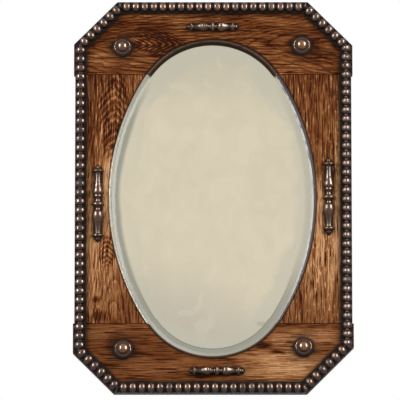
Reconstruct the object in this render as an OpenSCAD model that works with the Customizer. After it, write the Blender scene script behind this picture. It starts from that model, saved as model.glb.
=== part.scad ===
// Wall mirror: an oak frame with cut corners, a bead moulding round its edge, four turned
// bosses and four split balusters, and an oval bevelled glass held in a rebate behind it.
// The wall is the plane Y = 0, the mirror faces -Y, X is to the right and Z is up.
// Every piece is drawn lying on its back, with Y up the wall and Z out from the wall,
// and upright() stands it up.

/* [Frame boards] */
// Width over the ends of the rails
frame_w = 492; // [476:1:520]
// Height over both rails
frame_h = 700; // [690:1:740]
// Thickness of the four oak boards
board_t = 19; // [17:0.5:24]
// Width of the top rail, from its outer edge down to the joint
top_rail_w = 130.5; // [124:0.5:138]
// Width of the bottom rail, from its outer edge up to the joint
bottom_rail_w = 123.5; // [118:0.5:136]
// How far the stiles have shrunk in behind the ends of the rails
stile_inset = 2.5; // [0.5:0.5:5]
// Leg of the cut across the top left corner
cant_top_left = 76; // [60:1:86]
// Leg of the cut across the top right corner
cant_top_right = 78; // [60:1:86]
// Leg of the cut across the bottom left corner
cant_bottom_left = 72; // [60:1:86]
// Leg of the cut across the bottom right corner
cant_bottom_right = 82; // [60:1:86]

/* [Oval opening] */
// Width of the oval at its front arris
oval_w = 365; // [345:1:372]
// Height of the oval at its front arris
oval_h = 571; // [550:1:578]
// Centre of the oval, to the right of the frame's centre
oval_x = -1.5; // [-4:0.5:4]
// Centre of the oval, above the frame's centre
oval_z = -2; // [-5:0.5:5]
// Radius of the long side arcs, which the stiles carry
side_arc_r = 409; // [400:1:420]
// Rounding of the front arris
arris_r = 2.5; // [1:0.5:3.5]
// How far the reveal closes in between the arris and the glass
reveal_splay = 3; // [1:0.5:5]

/* [Looking glass] */
// Thickness of the plate glass
glass_t = 5; // [4:0.5:6]
// Width of the ground bevel
bevel_w = 19; // [14:1:25]
// Thickness that the bevel leaves at the edge
bevel_edge_t = 3; // [2:0.25:3.5]
// How far the glass reaches out behind the sight edge
sight_overlap = 6.5; // [5:0.5:8]
// Room between the edge of the glass and the wall of the rebate
glass_side_gap = 2.5; // [1.5:0.5:4]
// Thickness of the silver with its backing paint
coat_t = 0.15; // [0.1:0.05:0.3]
// Thickness of the card packed behind the silver
card_t = 1.5; // [1:0.25:3]
// Length of each block that keeps the glass centred
glazing_block_len = 24; // [12:1:40]

/* [Bead moulding] */
// Width of the flat strip that carries the beads
strip_w = 20; // [18:0.5:24]
// Thickness of the flat strip
strip_t = 3; // [2:0.5:5]
// Diameter of a bead
bead_d = 18.4; // [16:0.1:19]
// Width of a bead along the strip
bead_w = 15.2; // [12:0.1:15.6]
// Distance from bead to bead
bead_pitch = 16; // [15:0.125:20]
// Line of the beads, in from the outer edge of the strip
bead_line = 9.5; // [9.2:0.1:10.2]
// Diameter of the neck between beads
neck_d = 9; // [5:0.5:10]
// How far the corner strips lie in from the cut corners
corner_strip_inset = 1; // [0:0.25:2]

/* [Bosses] */
// Diameter of the foot of a boss
boss_d = 35; // [32:0.5:38]
// Diameter of the ring on the foot
boss_ring_d = 29.5; // [25:0.5:31]
// Diameter of the dome
boss_dome_d = 19.6; // [16:0.2:22]
// Height of the foot
boss_foot_h = 4; // [3:0.25:5]
// Height of the ring above the foot
boss_ring_h = 3.4; // [2.4:0.2:5]
// Diameter of the spigot
boss_spigot_d = 8; // [6:0.5:10]
// Length of the spigot
boss_spigot_len = 9; // [6:0.5:10]
// Top left boss, in from the rail's end and down from its edge
boss_top_left = [85.5, 81.5]; // [78:0.5:95]
// Top right boss, in from the rail's end and down from its edge
boss_top_right = [89.5, 78.5]; // [78:0.5:95]
// Bottom left boss, in from the rail's end and up from its edge
boss_bottom_left = [88, 77.5]; // [72:0.5:95]
// Bottom right boss, in from the rail's end and up from its edge
boss_bottom_right = [88, 81.5]; // [76:0.5:95]

/* [Split balusters] */
// Length of the two balusters on the stiles
side_baluster_len = 140; // [110:1:170]
// Diameter of the two balusters on the stiles
side_baluster_d = 22; // [16:0.2:24]
// Length of the baluster on the top rail
top_baluster_len = 93; // [80:1:120]
// Length of the baluster on the bottom rail
bottom_baluster_len = 98; // [80:1:120]
// Diameter of the two balusters on the rails
rail_baluster_d = 19; // [14:0.2:22]
// Axis of the side balusters, in from the edge of the stile
side_baluster_in = 40.5; // [36:0.5:44]
// Axis of the top baluster, down from the edge of the rail
top_baluster_in = 44.5; // [36:0.5:48]
// Axis of the bottom baluster, up from the edge of the rail
bottom_baluster_in = 39; // [36:0.5:46]
// Middle of the left baluster, above the frame's centre
left_baluster_z = -12.5; // [-30:0.5:30]
// Middle of the right baluster, above the frame's centre
right_baluster_z = 0; // [-30:0.5:30]
// Middle of the top baluster, right of the frame's centre
top_baluster_x = -1; // [-20:0.5:20]
// Middle of the bottom baluster, right of the frame's centre
bottom_baluster_x = 6.5; // [-20:0.5:20]

/* [Joints between the boards] */
// Diameter of the dowels
dowel_d = 9; // [6:0.5:11]
// Length of the dowels
dowel_len = 44; // [30:1:50]
// Outer dowel, in from the edge of the stile
dowel_in = 28; // [22:1:34]
// Distance from the outer to the inner dowel
dowel_spacing = 52; // [30:1:60]

/* [Back] */
// Thickness of the plywood backboard
backboard_t = 5; // [5:0.5:8]
// Gap between the backboard and the rings at its sides
backboard_ring_gap = 4; // [2:0.5:6]
// Backboard's lap on a rail, as a share of the wood from the rebate to the rail's edge
backboard_end_share = 0.5; // [0.4:0.01:0.6]
// Diameter of a countersunk screw head
screw_head_d = 6.4; // [5:0.2:8]
// Diameter of a screw shank
screw_shank_d = 3; // [2.5:0.1:4]
// Length of a backboard screw
screw_len = 14; // [12:0.5:18]

/* [Ring hangers] */
// Height of the ring hinges above the frame's centre
hanger_z = 150; // [110:1:160]
// Hanger, in from the stile's edge, as a share of the wood from the rebate to that edge
hanger_share = 0.36; // [0.32:0.01:0.38]
// Width of the hanger plate
plate_w = 14; // [12:0.5:18]
// Length of the hanger plate below its hinge
plate_len = 33; // [32:1:40]
// Thickness of the hanger plate
plate_t = 0.8; // [0.6:0.1:1]
// Diameter of the ring's wire
wire_d = 2.4; // [2:0.1:2.6]
// Width of the ring between the middles of its legs
ring_w = 18; // [16:0.5:22]
// Outer diameter of the rolled knuckle
knuckle_d = 4.2; // [4:0.1:4.4]
// Height of a round screw head
round_head_h = 1.5; // [1:0.1:2]
// Diameter of a round screw head
round_head_d = 5; // [4:0.2:6]
// Length of a hanger screw's shank
hanger_screw_len = 11; // [8:0.5:14]

/* [Hidden] */
$fn = 96;

// Clearance round glued dowels, spigots and screws
glue_gap = 0.05;
// Room between the sight edge and the bevel behind it
seat_gap = 0.15;
// Running clearance between the ring's wire and its knuckle
wire_gap = 0.1;
// Length that a cut runs past the face it opens
past = 1;
// Stations along a baluster, as shares of its length: end disc, bulge, middle disc, bulb, foot disc
side_stations = [0.066, 0.345, 0.485, 0.645, 0.91];
rail_stations = [0.1, 0.35, 0.518, 0.69, 0.9];

// Half sizes of the frame, and the outer edge of the stiles
half_w = frame_w / 2;
half_h = frame_h / 2;
stile_edge = half_w - stile_inset;
joint_top = half_h - top_rail_w;
joint_bottom = bottom_rail_w - half_h;

// Levels out from the wall
back_z = backboard_t;
face_z = back_z + board_t;
sight_glass_t = bevel_edge_t + (glass_t - bevel_edge_t) * sight_overlap / bevel_w;
glass_z = back_z + card_t + coat_t;
lip_z = glass_z + sight_glass_t + seat_gap;

// Offsets from the arris: in to the sight edge, and to the edge of the glass and the rebate
sight_off = -(arris_r + reveal_splay);
glass_off = sight_off + sight_overlap;
rebate_off = glass_off + glass_side_gap;

// The oval is struck from four centres, so that each board carries one arc. The side arcs
// are given, and each end arc passes through the oval's tip and meets them at its joint.
half_oval_w = oval_w / 2;
half_oval_h = oval_h / 2;
side_centre = side_arc_r - half_oval_w;
rise_top = joint_top - oval_z;
rise_bottom = oval_z - joint_bottom;

function side_arc_x(rise, off) = sqrt(pow(side_arc_r + off, 2) - rise * rise) - side_centre;
function end_arc_r(rise) =
    (pow(half_oval_h - rise, 2) + pow(side_arc_x(rise, 0), 2)) / (2 * (half_oval_h - rise));

top_arc_r = end_arc_r(rise_top);
bottom_arc_r = end_arc_r(rise_bottom);
top_centre_z = oval_z + half_oval_h - top_arc_r;
bottom_centre_z = oval_z - half_oval_h + bottom_arc_r;

// Angles above and below the level at which the arcs meet, on the end arcs and the side arcs
top_end = atan2(joint_top - top_centre_z, side_arc_x(rise_top, 0));
bottom_end = atan2(bottom_centre_z - joint_bottom, side_arc_x(rise_bottom, 0));
side_top = asin(rise_top / side_arc_r);
side_bottom = asin(rise_bottom / side_arc_r);

// How far the rebate reaches from the frame's centre, and the wood left outside it
side_rebate = half_oval_w + abs(oval_x) + rebate_off;
end_rebate = half_oval_h + abs(oval_z) + rebate_off;
side_wood = stile_edge - side_rebate;
end_wood = half_h - end_rebate;
hanger_x = stile_edge - hanger_share * side_wood;
backboard_half_w = hanger_x - ring_w / 2 - wire_d / 2 - backboard_ring_gap;
backboard_half_h = end_rebate + backboard_end_share * end_wood;

// The inner edge of each stile board, just inside the opening at the joints
stile_reach = min(side_arc_x(rise_top, sight_off), side_arc_x(rise_bottom, sight_off)) - 2;

// Points of an arc with radii rx and ry about [x, y]
function arc(x, y, rx, ry, from, to, steps) =
    [for (i = [0:steps]) let (t = from + (to - from) * i / steps) [x + rx * cos(t), y + ry * sin(t)]];

// Leg of a corner cut once the sides have come in by dx and dy and the cut itself by d
function cant_inside(leg, dx, dy, d) = leg - dx - dy + d * sqrt(2);

// An octagon with its own leg at each corner
function octagon(w, h, tl, tr, br, bl) = [
    [-w + tl, h], [w - tr, h], [w, h - tr], [w, -h + br],
    [w - br, -h], [-w + bl, -h], [-w, -h + bl], [-w, h - tl]
];

// Outline of the oval, at an offset from its arris
function oval_points(off) =
    let (
        top_r = top_arc_r + off,
        bottom_r = bottom_arc_r + off,
        side_r = side_arc_r + off
    )
    concat(
        arc(oval_x - side_centre, oval_z, side_r, side_r, 1 - side_bottom, side_top - 1, 28),
        arc(oval_x, top_centre_z, top_r, top_r, top_end, 180 - top_end, 44),
        arc(oval_x + side_centre, oval_z, side_r, side_r, 181 - side_top, 179 + side_bottom, 28),
        arc(oval_x, bottom_centre_z, bottom_r, bottom_r, bottom_end - 180, -bottom_end, 44)
    );

module upright() {
    rotate([90, 0, 0]) children();
}

// Half section of the cut for the opening: rebate, splayed reveal and rounded arris. The
// arris is struck from a little inside the wood, and a small quirk parts it from the splay.
module opening_section(r) {
    inside = 0.45 * arris_r;
    quirk = 0.2;
    difference() {
        polygon([
            [0, back_z - past], [r + rebate_off, back_z - past], [r + rebate_off, lip_z],
            [r + sight_off, lip_z], [r - arris_r - quirk, face_z - arris_r],
            [r + inside, face_z - arris_r], [r + inside, face_z + past], [0, face_z + past]
        ]);
        translate([r + inside, face_z - arris_r - inside]) circle(norm([arris_r + inside, inside]));
    }
}

module opening_cut(x, y, r) {
    translate([x, y, 0]) rotate_extrude($fn = 240) opening_section(r);
}

// Dowel places: side is -1 or 1, and the joint line is the middle of each dowel
dowel_places = [
    for (y = [joint_top, joint_bottom], side = [-1, 1], step = [0, 1])
        [side * (stile_edge - dowel_in - step * dowel_spacing), y]
];

module dowels(d, len) {
    for (p = dowel_places)
        translate([p[0], p[1], back_z + board_t / 2])
            rotate([90, 0, 0]) cylinder(h = len, d = d, center = true);
}

// Places of the bosses, from the ends and edges of the rails
boss_places = [
    [-half_w + boss_top_left[0], half_h - boss_top_left[1]],
    [half_w - boss_top_right[0], half_h - boss_top_right[1]],
    [-half_w + boss_bottom_left[0], -half_h + boss_bottom_left[1]],
    [half_w - boss_bottom_right[0], -half_h + boss_bottom_right[1]]
];

module boss_sockets() {
    socket = boss_spigot_len + 0.5;
    for (p = boss_places)
        translate([p[0], p[1], face_z - socket])
            cylinder(h = socket + past, d = boss_spigot_d + 2 * glue_gap);
}

// Places of the screws that hold the backboard, in the middle of its laps
screw_x = (side_rebate + backboard_half_w) / 2;
screw_y = (end_rebate + backboard_half_h) / 2;
screw_places = concat(
    [for (x = [-0.6, -0.2, 0.2, 0.6], side = [-1, 1]) [x * half_w, side * screw_y]],
    [for (y = [0.25, -0.12, -0.5], side = [-1, 1]) [side * screw_x, y * half_h]]
);

// Profile of a countersunk screw with its head at z = 0, grown by gap for its hole
module countersunk_profile(gap, head_past) {
    head_r = screw_head_d / 2 + gap;
    shank_r = screw_shank_d / 2 + gap;
    rim = 0.4;
    polygon([
        [0, -head_past], [head_r, -head_past], [head_r, rim], [shank_r, rim + head_r - shank_r],
        [shank_r, screw_len - 0.7 * screw_shank_d], [0.4 + gap, screw_len + gap], [0, screw_len + gap]
    ]);
}

module screw_holes() {
    for (p = screw_places)
        translate([p[0], p[1], 0]) rotate_extrude($fn = 48) countersunk_profile(glue_gap, past);
}

// Places of the screws of both hangers, where the plates lie on the stiles
plate_back_z = back_z - plate_t;
hanger_screw_places = [
    for (side = [-1, 1], drop = [0.56, 0.83])
        [side * hanger_x, hanger_z - drop * plate_len]
];

module hanger_screw_holes(depth) {
    for (p = hanger_screw_places)
        translate([p[0], p[1], plate_back_z - past])
            cylinder(h = depth + past, d = screw_shank_d + 2 * glue_gap, $fn = 48);
}

// A rail is cut by the same tool as its stiles, struck from its own centre
module rail(points, centre_z, arc_r) {
    color("#a8713f") upright() difference() {
        translate([0, 0, back_z]) linear_extrude(board_t) polygon(points);
        opening_cut(oval_x, centre_z, arc_r);
        dowels(dowel_d + 2 * glue_gap, dowel_len + 1);
        boss_sockets();
        screw_holes();
    }
}

module top_rail() {
    rail([
        [-half_w, joint_top], [half_w, joint_top], [half_w, half_h - cant_top_right],
        [half_w - cant_top_right, half_h], [cant_top_left - half_w, half_h],
        [-half_w, half_h - cant_top_left]
    ], top_centre_z, top_arc_r);
}

module bottom_rail() {
    rail([
        [-half_w, joint_bottom], [-half_w, cant_bottom_left - half_h],
        [cant_bottom_left - half_w, -half_h], [half_w - cant_bottom_right, -half_h],
        [half_w, cant_bottom_right - half_h], [half_w, joint_bottom]
    ], bottom_centre_z, bottom_arc_r);
}

// A stile: side is -1 for the left one and 1 for the right one
module stile(side) {
    inner = oval_x + side * stile_reach;
    outer = side * stile_edge;
    color("#b98149") upright() difference() {
        translate([min(inner, outer), joint_bottom, back_z])
            cube([abs(outer - inner), joint_top - joint_bottom, board_t]);
        opening_cut(oval_x - side * side_centre, oval_z, side_arc_r);
        dowels(dowel_d + 2 * glue_gap, dowel_len + 1);
        screw_holes();
        hanger_screw_holes(plate_t + hanger_screw_len + 0.5);
    }
}

module left_stile() {
    stile(-1);
}

module right_stile() {
    stile(1);
}

module joint_dowels() {
    color("#dcb98a") upright() dowels(dowel_d, dowel_len);
}

// Outer corners of the bead moulding, clockwise from the top left
strip_corners = octagon(
    stile_edge, half_h,
    cant_inside(cant_top_left, stile_inset, 0, corner_strip_inset),
    cant_inside(cant_top_right, stile_inset, 0, corner_strip_inset),
    cant_inside(cant_bottom_right, stile_inset, 0, corner_strip_inset),
    cant_inside(cant_bottom_left, stile_inset, 0, corner_strip_inset)
);

// A turned bead, a little wider across the strip than along it
module bead() {
    rotate_extrude($fn = 48) intersection() {
        translate([(bead_d - bead_w) / 2, 0]) circle(d = bead_w);
        translate([0, -bead_w]) square(2 * bead_w);
    }
}

// A mitred length of bead moulding along X, with its outer edge on y = 0. The beads stand
// evenly about its middle, and the mitres cut the last ones.
module bead_strip(len) {
    slope = tan(22.5);
    end = len / 2 - glue_gap;
    outline = [[-end, 0], [end, 0], [end - strip_w * slope, -strip_w], [strip_w * slope - end, -strip_w]];
    reach = len / 2 - bead_line * slope + 0.3 * bead_w;
    pairs = floor(reach / bead_pitch + 0.5);
    linear_extrude(strip_t) polygon(outline);
    intersection() {
        translate([0, 0, strip_t]) linear_extrude(bead_d) polygon(outline);
        translate([0, -bead_line, strip_t]) {
            rotate([0, 90, 0]) cylinder(h = len, d = neck_d, center = true, $fn = 48);
            for (i = [0.5 - pairs:pairs - 0.5])
                translate([i * bead_pitch, 0, 0]) rotate([0, 90, 0]) bead();
        }
    }
}

// Places the strip that runs from one corner of the moulding to the next
module strip_from(corner) {
    p = strip_corners[corner];
    q = strip_corners[(corner + 1) % 8];
    middle = (p + q) / 2;
    color("#4a342a") upright() translate([middle[0], middle[1], face_z])
        rotate(atan2(q[1] - p[1], q[0] - p[0])) bead_strip(norm(q - p));
}

module bead_strip_top() {
    strip_from(0);
}

module bead_strip_top_right() {
    strip_from(1);
}

module bead_strip_right() {
    strip_from(2);
}

module bead_strip_bottom_right() {
    strip_from(3);
}

module bead_strip_bottom() {
    strip_from(4);
}

module bead_strip_bottom_left() {
    strip_from(5);
}

module bead_strip_left() {
    strip_from(6);
}

module bead_strip_top_left() {
    strip_from(7);
}

// Half section of a turned disc of radius r from y0 to y1, its edge struck with radius q
// from a centre at the height yc
module disc_section(r, y0, y1, q, yc) {
    intersection() {
        translate([0, y0]) square([r + 1, y1 - y0]);
        union() {
            translate([0, y0 - 1]) square([r - q, y1 - y0 + 2]);
            translate([r - q, yc]) circle(q);
        }
    }
}

// A turned boss: rounded foot, ring and dome, with a spigot glued in its socket
module boss(place) {
    ring_top = boss_foot_h + boss_ring_h;
    color("#463129") upright() translate([place[0], place[1], face_z]) {
        translate([0, 0, -boss_spigot_len]) cylinder(h = boss_spigot_len + 1, d = boss_spigot_d);
        rotate_extrude() {
            disc_section(boss_d / 2, 0, boss_foot_h, 1.25 * boss_foot_h, 0);
            disc_section(boss_ring_d / 2, boss_foot_h - 0.5, ring_top, 0.8 * boss_ring_h, boss_foot_h + 1);
            intersection() {
                translate([0, boss_foot_h]) square(boss_dome_d);
                translate([0, ring_top]) circle(d = boss_dome_d);
            }
        }
    }
}

module boss_top_left() {
    boss(boss_places[0]);
}

module boss_top_right() {
    boss(boss_places[1]);
}

module boss_bottom_left() {
    boss(boss_places[2]);
}

module boss_bottom_right() {
    boss(boss_places[3]);
}

// Half section that swells from radius r0 at y0 to r1 at y1 along one hollow arc
module swell_section(r0, r1, y0, y1) {
    h = abs(y1 - y0);
    arc_r = (h * h + pow(r1 - r0, 2)) / (2 * (r1 - r0));
    difference() {
        translate([0, min(y0, y1)]) square([r1 + 1, h]);
        translate([r0 + arc_r, y0]) circle(arc_r);
    }
}

// Half section of a baluster, with its column end at y = 0 and its discs at the stations
module baluster_section(len, d, at) {
    r = d / 2;
    above = at[2] - at[1] - 0.058;
    below = at[3] - at[2] - 0.068;
    collars = [
        at[1] + 0.04 + 0.21 * above, at[1] + 0.04 + 0.63 * above,
        at[2] + 0.018 + 0.4 * below, at[2] + 0.018 + 0.8 * below
    ];
    polygon([[0, 0], [0.16 * r, 0], [0.58 * r, (at[0] - 0.01) * len], [0, (at[0] - 0.01) * len]]);
    disc_section(0.97 * r, (at[0] - 0.012) * len, (at[0] + 0.012) * len, 0.02 * len, at[0] * len);
    swell_section(0.56 * r, 0.94 * r, (at[0] + 0.007) * len, at[1] * len);
    disc_section(r, (at[1] - 0.024) * len, (at[1] + 0.04) * len, 0.036 * len, at[1] * len);
    translate([0, (at[0] - 0.018) * len]) square([0.5 * r, (at[4] - at[0] + 0.023) * len]);
    for (y = collars)
        disc_section(0.74 * r, (y - 0.017) * len, (y + 0.017) * len, 0.02 * len, y * len);
    disc_section(r, (at[2] - 0.018) * len, (at[2] + 0.018) * len, 0.026 * len, at[2] * len);
    disc_section(r, (at[3] - 0.055) * len, (at[3] + 0.055) * len, 0.06 * len, at[3] * len);
    swell_section(0.68 * r, 0.95 * r, (at[4] - 0.005) * len, (at[3] + 0.03) * len);
    disc_section(0.97 * r, (at[4] - 0.012) * len, (at[4] + 0.012) * len, 0.02 * len, at[4] * len);
    polygon([
        [0, (at[4] - 0.005) * len], [0.62 * r, (at[4] - 0.005) * len],
        [0.62 * r, (at[4] + 0.01) * len], [0.14 * r, len], [0, len]
    ]);
}

// A split baluster: half of a turning, flat on the face of the frame, running down from
// [x, y], or to the right from it when along is 90
module baluster(x, y, len, d, at, along) {
    color("#463129") upright() translate([x, y, face_z])
        rotate([0, 0, along]) rotate([90, 0, 0]) rotate_extrude(angle = 180) baluster_section(len, d, at);
}

module baluster_left() {
    baluster(side_baluster_in - stile_edge, left_baluster_z + side_baluster_len / 2,
        side_baluster_len, side_baluster_d, side_stations, 0);
}

module baluster_right() {
    baluster(stile_edge - side_baluster_in, right_baluster_z + side_baluster_len / 2,
        side_baluster_len, side_baluster_d, side_stations, 0);
}

module baluster_top() {
    baluster(top_baluster_x - top_baluster_len / 2, half_h - top_baluster_in,
        top_baluster_len, rail_baluster_d, rail_stations, 90);
}

module baluster_bottom() {
    baluster(bottom_baluster_x - bottom_baluster_len / 2, bottom_baluster_in - half_h,
        bottom_baluster_len, rail_baluster_d, rail_stations, 90);
}

// The plate is flat at the back, and its bevel runs from the front face to a thin edge
module mirror_glass() {
    color("#c9d3c8") upright() translate([0, 0, glass_z]) hull() {
        linear_extrude(bevel_edge_t) polygon(oval_points(glass_off));
        linear_extrude(glass_t) polygon(oval_points(glass_off - bevel_w));
    }
}

module silver_coat() {
    color("silver") upright() translate([0, 0, glass_z - coat_t])
        linear_extrude(coat_t) polygon(oval_points(glass_off));
}

module packing_card() {
    color("#b9a98c") upright() translate([0, 0, back_z])
        linear_extrude(card_t) polygon(oval_points(glass_off));
}

// One block between the edge of the glass and the wall of the rebate, at an angle about
// the centre of its arc
module glazing_block(x, y, r, angle) {
    turn = glazing_block_len / r * 180 / PI;
    translate([x, y, back_z]) rotate(angle - turn / 2) rotate_extrude(angle = turn)
        translate([r + glass_off + glue_gap, 0])
            square([glass_side_gap - 2 * glue_gap, lip_z - back_z - seat_gap]);
}

module glazing_blocks() {
    color("#d9c3a0") upright() {
        for (side = [-0.56, 0.56]) {
            glazing_block(oval_x, top_centre_z, top_arc_r, 90 + side * (90 - top_end));
            glazing_block(oval_x, bottom_centre_z, bottom_arc_r, 270 + side * (90 - bottom_end));
        }
        for (angle = [-0.52 * side_bottom, 0.52 * side_top]) {
            glazing_block(oval_x - side_centre, oval_z, side_arc_r, angle);
            glazing_block(oval_x + side_centre, oval_z, side_arc_r, 180 - angle);
        }
    }
}

module backboard() {
    dx = half_w - backboard_half_w;
    dy = half_h - backboard_half_h;
    color("#c9a06c") upright() difference() {
        linear_extrude(backboard_t) polygon(octagon(
            backboard_half_w, backboard_half_h,
            cant_inside(cant_top_left, dx, dy, 14), cant_inside(cant_top_right, dx, dy, 14),
            cant_inside(cant_bottom_right, dx, dy, 14), cant_inside(cant_bottom_left, dx, dy, 14)
        ));
        screw_holes();
    }
}

module backboard_screws() {
    color("#8a8d90") upright() for (p = screw_places)
        translate([p[0], p[1], 0]) difference() {
            rotate_extrude($fn = 48) countersunk_profile(0, 0);
            translate([0, 0, 0.3]) cube([screw_head_d + 1, 0.9, 1], center = true);
        }
}

// Axis of the ring's wire, so that the knuckle just clears the back of the stile
bend_r = 3;
hinge_z = back_z - glue_gap - knuckle_d / 2;

// A hanger plate with the knuckle rolled at its top
module hanger(side) {
    half = plate_w / 2;
    corner = plate_w / 4;
    color("#b08d45") upright() difference() {
        translate([side * hanger_x, hanger_z, 0]) difference() {
            union() {
                translate([0, 0, plate_back_z]) linear_extrude(plate_t) polygon([
                    [-half, 0], [half, 0], [half, corner - plate_len], [half - corner, -plate_len],
                    [corner - half, -plate_len], [-half, corner - plate_len]
                ]);
                translate([0, 0, hinge_z]) rotate([0, 90, 0])
                    cylinder(h = ring_w - 2 * bend_r - 1, d = knuckle_d, center = true);
            }
            translate([0, 0, hinge_z]) rotate([0, 90, 0])
                cylinder(h = ring_w, d = wire_d + 2 * wire_gap, center = true);
        }
        hanger_screw_holes(plate_t + past);
    }
}

module hanger_left() {
    hanger(-1);
}

module hanger_right() {
    hanger(1);
}

// Round head screws with slots, driven from behind through the plates
module hanger_screws() {
    cap_r = (pow(round_head_d / 2, 2) + pow(round_head_h, 2)) / (2 * round_head_h);
    shank_r = screw_shank_d / 2;
    color("#b08d45") upright() for (p = hanger_screw_places)
        translate([p[0], p[1], plate_back_z]) difference() {
            rotate_extrude($fn = 48) {
                intersection() {
                    translate([0, -round_head_h - 1]) square([round_head_d, round_head_h + 1]);
                    translate([0, cap_r - round_head_h]) circle(cap_r);
                }
                polygon([
                    [0, -0.5], [shank_r, -0.5], [shank_r, hanger_screw_len - 0.7 * screw_shank_d],
                    [shank_r / 4, hanger_screw_len], [0, hanger_screw_len]
                ]);
            }
            translate([0, 0, -round_head_h])
                cube([round_head_d + 1, round_head_d / 6, 0.8 * round_head_h], center = true);
        }
}

// A ring of round wire: a bar through the knuckle, two bends and a half circle below
module ring(side) {
    color("#a88440") upright() translate([side * hanger_x, hanger_z, hinge_z]) {
        rotate([0, 90, 0]) cylinder(h = ring_w - 2 * bend_r, d = wire_d, center = true);
        for (end = [0, 1])
            translate([(1 - 2 * end) * (ring_w / 2 - bend_r), -bend_r, 0]) rotate(90 * end)
                rotate_extrude(angle = 90) translate([bend_r, 0]) circle(d = wire_d);
        translate([0, -bend_r, 0]) rotate(180)
            rotate_extrude(angle = 180) translate([ring_w / 2, 0]) circle(d = wire_d);
    }
}

module ring_left() {
    ring(-1);
}

module ring_right() {
    ring(1);
}

top_rail();
bottom_rail();
left_stile();
right_stile();
joint_dowels();
bead_strip_top();
bead_strip_bottom();
bead_strip_left();
bead_strip_right();
bead_strip_top_left();
bead_strip_top_right();
bead_strip_bottom_left();
bead_strip_bottom_right();
boss_top_left();
boss_top_right();
boss_bottom_left();
boss_bottom_right();
baluster_left();
baluster_right();
baluster_top();
baluster_bottom();
mirror_glass();
silver_coat();
packing_card();
glazing_blocks();
backboard();
backboard_screws();
hanger_left();
hanger_right();
hanger_screws();
ring_left();
ring_right();
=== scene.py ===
"""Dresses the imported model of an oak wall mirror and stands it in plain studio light.

The bevelled plate and the four balusters are made anew, on the sizes and places of the packed
ones. Every other piece keeps its solid and gets a finish. Lengths are metres in the model's own
frame: X to the right, Z up, the wall is the plane Y = 0 and the front of the mirror faces -Y.
"""

from __future__ import annotations

import logging
import math
from dataclasses import dataclass
from enum import Enum
from functools import cached_property
from typing import Mapping, Union

import bmesh
import bpy
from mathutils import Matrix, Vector


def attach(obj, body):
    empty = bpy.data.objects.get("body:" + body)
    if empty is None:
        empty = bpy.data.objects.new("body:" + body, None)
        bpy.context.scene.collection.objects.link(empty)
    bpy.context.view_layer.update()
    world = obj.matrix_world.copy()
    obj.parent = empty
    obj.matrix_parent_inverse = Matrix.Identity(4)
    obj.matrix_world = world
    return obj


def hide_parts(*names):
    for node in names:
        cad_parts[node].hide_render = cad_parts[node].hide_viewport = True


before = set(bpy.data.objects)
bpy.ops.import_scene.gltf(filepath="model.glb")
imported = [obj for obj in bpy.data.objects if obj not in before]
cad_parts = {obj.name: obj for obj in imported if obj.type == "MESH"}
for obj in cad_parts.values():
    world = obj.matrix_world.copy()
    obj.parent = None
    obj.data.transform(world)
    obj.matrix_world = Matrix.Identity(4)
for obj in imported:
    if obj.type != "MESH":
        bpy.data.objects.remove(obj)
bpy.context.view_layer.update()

LOG = logging.getLogger("wall_mirror")

Colour = tuple[float, float, float, float]
Triple = tuple[float, float, float]

# Half the width and half the height of the frame
HALF_WIDE = 0.246
HALF_HIGH = 0.350
# How far the face of the boards stands from the wall
FACE = 0.024
# How wide the strips under the beads are, and how far they lie in on the stiles and corners
STRIP = 0.020
STILE_INSET = 0.0025
CORNER_INSET = 0.001


def srgb(red: float, green: float, blue: float) -> Colour:
    """Turns a colour as a screen shows it into the linear one that a shader takes.

    Args:
        red: 0 to 255.
        green: 0 to 255.
        blue: 0 to 255.

    Returns:
        The linear colour with an alpha of 1.
    """

    def linear(value: float) -> float:
        """Undoes the screen's curve for one channel."""
        share = value / 255
        return share / 12.92 if share <= 0.04045 else ((share + 0.055) / 1.055) ** 2.4

    return linear(red), linear(green), linear(blue), 1.0


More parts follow.
